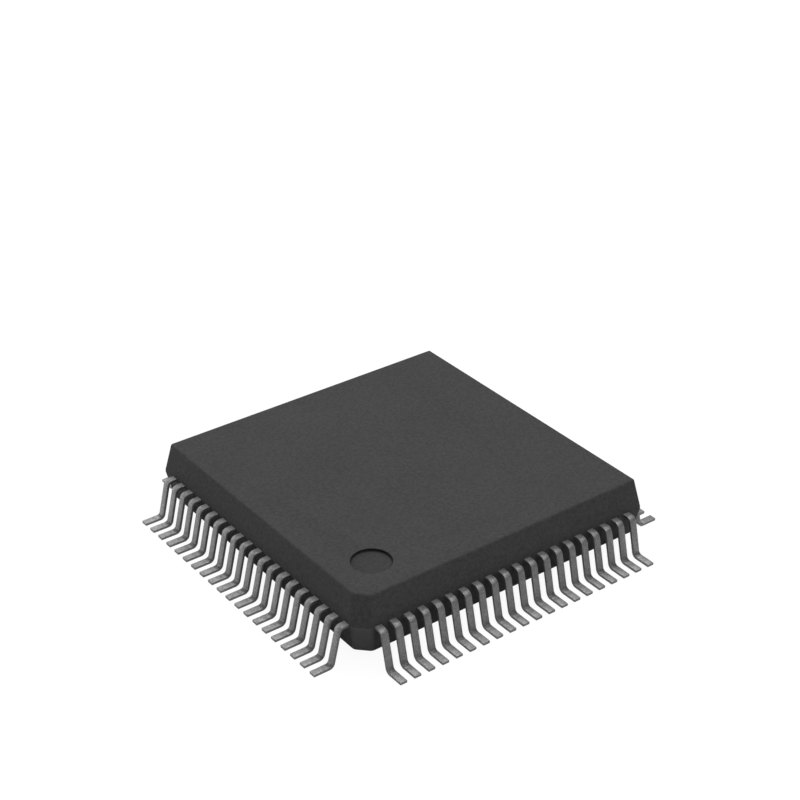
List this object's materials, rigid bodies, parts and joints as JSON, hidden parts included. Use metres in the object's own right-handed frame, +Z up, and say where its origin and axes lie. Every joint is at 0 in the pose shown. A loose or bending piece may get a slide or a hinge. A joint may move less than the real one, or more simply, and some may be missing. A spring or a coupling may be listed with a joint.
{
  "type": "quad flat pack chip",
  "caption": "Square moulded chip package with gull-wing leads along all four sides, one cut corner and a round pin 1 dimple, with its die, pad and bond wires inside.",
  "frame": {"origin": "middle of the package on the seating plane, the plane of the undersides of the solder feet", "axes": "+Z up, square to the top face; pin 1 is at the -X, -Y corner; pins 1 to 20 stand along the -Y side from -X to +X, and the numbers go on anticlockwise seen from above"},
  "size_m": [0.0172, 0.0172, 0.003],
  "materials": {
    "moulding_compound": "dark grey epoxy moulding compound, fine matt grain from the spark-eroded mould",
    "plated_leads": "satin matt-tin plating on stamped copper alloy, faint rolling lines, darker sheared edges",
    "frame_metal": "bare rolled copper alloy, sheared edges",
    "die_adhesive": "cured silver-filled paste",
    "silicon": "sawn silicon with a polished, passivated top",
    "bond_wire": "drawn gold wire"
  },
  "bodies": {
    "root": {"moulded_body": "moulding_compound", "leads_01_21_41_61": "plated_leads", "leads_02_22_42_62": "plated_leads", "leads_03_23_43_63": "plated_leads", "leads_04_24_44_64": "plated_leads", "leads_05_25_45_65": "plated_leads", "leads_06_26_46_66": "plated_leads", "leads_07_27_47_67": "plated_leads", "leads_08_28_48_68": "plated_leads", "leads_09_29_49_69": "plated_leads", "leads_10_30_50_70": "plated_leads", "leads_11_31_51_71": "plated_leads", "leads_12_32_52_72": "plated_leads", "leads_13_33_53_73": "plated_leads", "leads_14_34_54_74": "plated_leads", "leads_15_35_55_75": "plated_leads", "leads_16_36_56_76": "plated_leads", "leads_17_37_57_77": "plated_leads", "leads_18_38_58_78": "plated_leads", "leads_19_39_59_79": "plated_leads", "leads_20_40_60_80": "plated_leads", "die_pad": "frame_metal", "die_adhesive": "die_adhesive", "silicon_die": "silicon", "bond_wires_01_21_41_61": "bond_wire", "bond_wires_02_22_42_62": "bond_wire", "bond_wires_03_23_43_63": "bond_wire", "bond_wires_04_24_44_64": "bond_wire", "bond_wires_05_25_45_65": "bond_wire", "bond_wires_06_26_46_66": "bond_wire", "bond_wires_07_27_47_67": "bond_wire", "bond_wires_08_28_48_68": "bond_wire", "bond_wires_09_29_49_69": "bond_wire", "bond_wires_10_30_50_70": "bond_wire", "bond_wires_11_31_51_71": "bond_wire", "bond_wires_12_32_52_72": "bond_wire", "bond_wires_13_33_53_73": "bond_wire", "bond_wires_14_34_54_74": "bond_wire", "bond_wires_15_35_55_75": "bond_wire", "bond_wires_16_36_56_76": "bond_wire", "bond_wires_17_37_57_77": "bond_wire", "bond_wires_18_38_58_78": "bond_wire", "bond_wires_19_39_59_79": "bond_wire", "bond_wires_20_40_60_80": "bond_wire"}
  },
  "joints": []
}
